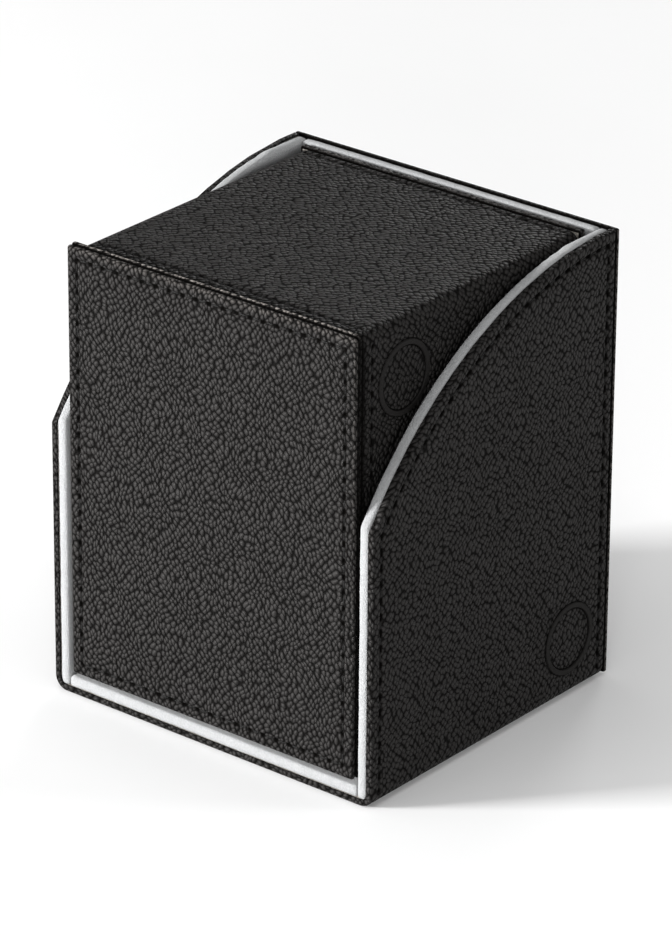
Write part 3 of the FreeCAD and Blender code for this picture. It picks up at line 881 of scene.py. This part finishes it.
def box_skin():
    """One skin over both sides and the top, with a seam near its front and its rear edge."""
    low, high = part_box("box_wrap_leather")
    piece = block("box_skin", low, high)
    to_edit(piece)
    crease_round(piece, lambda e: runs_along(e, 1) and near(middle(e).z, high.z),
                 SHOULDER_RADIUS, 8)
    drop_faces(piece, lambda f: abs(f.normal.y) > 0.9 or f.normal.z < -0.9)
    flat_x = high.x - SHOULDER_RADIUS
    flat_z = high.z - SHOULDER_RADIUS

    def core(point):
        return Vector((max(-flat_x, min(flat_x, point.x)), point.y, min(point.z, flat_z)))

    def outward(point):
        return (point - core(point)).normalized()

    seams = {}
    for node in ("box_front_seam_stitching", "box_back_seam_stitching"):
        seams[node] = stitches_of(node)
        level = sum(centre.y for centre, _ in seams[node])/len(seams[node])
        for beside in (-1.0, -0.6, -0.45, -0.25, -0.1, 0.1, 0.25, 0.45, 0.6, 1.0):
            bpy.ops.mesh.select_all(action="SELECT")
            bpy.ops.mesh.bisect(plane_co=(0, level + beside*MM, 0), plane_no=(0, 1, 0))
        add_points(piece, lambda e: abs(middle(e).y - level) < 1.02*MM
                   and not runs_along(e, 1) and edge_length(e) > 2*MM)
    for behind in (1.3, 2.3):
        bpy.ops.mesh.select_all(action="SELECT")
        bpy.ops.mesh.bisect(plane_co=(0, low.y + behind*MM, 0), plane_no=(0, 1, 0))
    for side in (-1, 1):
        pressed_ring(piece, box_ring(side), side)
    turn_in(piece, lambda e: True, BOX_LIP, lambda point: -outward(point))
    crease_round(piece, sharp, 0.35*MM, 3)
    to_object()
    thicken(piece, BOX_SKIN)
    lay_sheet(piece, unfold_wrap(core, SHOULDER_RADIUS, low, high))
    # Painted shadow of the backing's ridge over the top's front band, and painted shade at the
    # rear joint.
    shadow_joint(piece, low.y, 2.2*MM)
    shadow_joint(piece, high.y, 0.25*MM)
    for side in (-1, 1):
        press_in(piece, box_ring(side), side)
    for node, stitches in seams.items():
        pull_in(piece, stitches, outward, slit=0.25, hole=0.3*MM)
        thread_row(node.replace("stitching", "stitches"), node, "card_box", outward)
    # Halve the painted shade on the top behind its front band, its needle holes included.
    shade_paint = piece.data.attributes["painted_shade"].data
    for vert in piece.data.vertices:
        if near(vert.co.z, high.z, 0.6*MM) and vert.co.y > low.y + 2.4*MM:
            shade_paint[vert.index].value *= 0.5
    soft_faces(piece)
    finish_piece(piece, "card_box", leather, ["box_wrap_leather"])


def box_ring(side):
    """Centre of the pressed ring near the upper front corner of one side of the card box."""
    low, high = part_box("box_upper_right_magnet" if side > 0 else "box_upper_left_magnet")
    centre = (low + high)/2
    centre.x = side*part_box("box_wrap_leather")[1].x
    return centre


def front_panel():
    """The stitched skin over the front panel's board."""
    piece = panel_skin("front_panel_skin", "front_panel_leather", -1, PANEL_ROUND, 5, 0.6*MM)
    outward = facing(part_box("front_panel_leather")[0].y, -1)
    pull_in(piece, stitches_of("front_panel_stitching"), outward)
    thread_row("front_panel_stitches", "front_panel_stitching", "card_box", outward)
    soft_faces(piece)
    finish_piece(piece, "card_box", leather, ["front_panel_leather"])


def panel_backing():
    """The covered board behind the front panel, whose upper edge is painted lighter as a
    highlighted ridge.
    """
    low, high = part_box("front_panel_backing")
    high.z += BACKING_RISE
    backing = block("front_panel_backing_skin", low, high)
    to_edit(backing)
    crease_round(backing, sharp, PANEL_ROUND, 5)
    add_points(backing, lambda e: edge_length(e) > 20*MM, 0.7*MM)
    to_object()
    lay_sheet(backing, unfold_panel(low, high, low.y, PANEL_ROUND))
    # Painted shade at its front joint and on its narrow sides, and a painted highlight along its
    # top.
    shadow_joint(backing, low.y, 0.5*MM)
    paint_edge_highlight(backing, high.z, (low.y + high.y)/2, 0.9*MM, 1.0)
    shade_sides(backing, high.x, 0.6)
    uneven(backing, 2.2*MM, 0.16*MM)
    soft_faces(backing)
    finish_piece(backing, "card_box", leather, ["front_panel_backing"])


def box_back():
    """The plain skin over the card box's back board."""
    piece = panel_skin("box_back_skin", "box_back_leather", 1, EDGE_ROUND, 4, 0.2*MM, sewn=False)
    soft_faces(piece)
    finish_piece(piece, "card_box", leather, ["box_back_leather"])


def box_lining(node):
    """Thin suede glued inside the card box: soft edges and a slightly wandering face."""
    low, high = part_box(node)
    piece = block(node + "_suede", low, high)
    to_edit(piece)
    crease_round(piece, sharp, 0.16*MM, 2)
    add_points(piece, lambda e: edge_length(e) > 20*MM, 1.8*MM)
    to_object()
    uneven(piece, 7*MM, 0.08*MM)
    soft_faces(piece)
    finish_piece(piece, "card_box", lining_suede, [node])


shell_skin()
shell_back_skin()
plush_liner("left_liner", "shell_left_liner_cloth", True)
plush_liner("right_liner", "shell_right_liner_cloth", True)
plush_liner("bottom_liner", "shell_bottom_liner_cloth", False)
plush_liner("back_liner", "shell_back_liner_cloth", False)
box_skin()
front_panel()
panel_backing()
box_back()
for part in ("front", "back", "left", "right", "top"):
    box_lining("box_" + part + "_lining")


# ---- boards and magnets, which keep their own shapes --------------------------------------

for node_name, node_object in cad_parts.items():
    finish = None
    if node_name.endswith("board"):
        finish = board_material
    elif node_name.endswith("magnet"):
        finish = magnet_material
    if finish:
        for place in node_object.material_slots:
            place.link = "OBJECT"
            place.material = finish


# ---- floor, light and camera --------------------------------------------------------------

def pale_floor():
    """A plain matt floor that isn't part of the object."""
    material, tree, shader, place = new_finish("pale_floor", Specular_IOR_Level=0.2)
    speck = place.node("ShaderNodeTexNoise", None, 0, Vector=place, Scale=0.02, Detail=3.0)
    colour = blend_colours(speck, (0.94, 0.94, 0.94, 1), (0.96, 0.96, 0.96, 1))
    feed(tree, shader.inputs["Base Color"], colour)
    feed(tree, shader.inputs["Roughness"], 0.7 + 0.1*speck)
    bpy.ops.mesh.primitive_plane_add(size=8)
    floor = bpy.context.object
    floor.name = "floor"
    floor.data.materials.append(material)


def softbox(name, place, aim, width, height, power):
    """A rectangular lamp at a place, turned towards its aim; its power is in watts."""
    lamp = bpy.data.lights.new(name, "AREA")
    lamp.shape = "RECTANGLE"
    lamp.size = width
    lamp.size_y = height
    lamp.energy = power
    stand = bpy.data.objects.new(name, lamp)
    stand.location = place
    stand.rotation_euler = (Vector(aim) - Vector(place)).to_track_quat("-Z", "Y").to_euler()
    bpy.context.scene.collection.objects.link(stand)


def studio():
    """A dim white room, a low key lamp at the left, and weak lamps round the box."""
    world = bpy.data.worlds.new("studio")
    world.use_nodes = True
    sky = world.node_tree.nodes["Background"]
    sky.inputs["Color"].default_value = (1, 1, 1, 1)
    sky.inputs["Strength"].default_value = 0.18
    bpy.context.scene.world = world
    middle_height = (0, 0, 50*MM)
    softbox("key", (-1.15, -1.25, 0.34), middle_height, 0.35, 0.35, 66)
    softbox("front_fill", (0.85, -1.15, 0.4), middle_height, 0.4, 0.4, 7)
    softbox("overhead", (0, -0.3, 1.6), middle_height, 1.4, 1.4, 10.5)
    softbox("back_glint", (-0.6, 1.4, 0.42), middle_height, 0.4, 0.25, 5)
    softbox("rear_rim", (1.1, 0.8, 0.5), middle_height, 0.3, 0.5, 4.6)


def camera():
    """A long lens in front of the box, to its right and above it."""
    azimuth, elevation, roll = (math.radians(a) for a in (39.14, 24.71, 0.41))
    back = Vector((math.sin(azimuth)*math.cos(elevation), -math.cos(azimuth)*math.cos(elevation),
                   math.sin(elevation)))
    right = Vector((math.cos(azimuth), math.sin(azimuth), 0))
    up = back.cross(right)
    turned = math.cos(roll)*right + math.sin(roll)*up
    risen = math.cos(roll)*up - math.sin(roll)*right
    lens = bpy.data.cameras.new("camera")
    lens.sensor_fit = "VERTICAL"
    lens.sensor_width = 36
    lens.sensor_height = 36
    lens.lens = 211.9
    eye = bpy.data.objects.new("camera", lens)
    aim = Vector((0.7*MM, 0, 48.75*MM))
    distance = 1122.3
    place = aim + back*distance*MM
    eye.matrix_world = Matrix.Translation(place) @ Matrix(
        (turned, risen, back)).transposed().to_4x4()
    bpy.context.scene.collection.objects.link(eye)
    bpy.context.scene.camera = eye


pale_floor()
studio()
camera()
bpy.context.scene.view_settings.view_transform = "Standard"
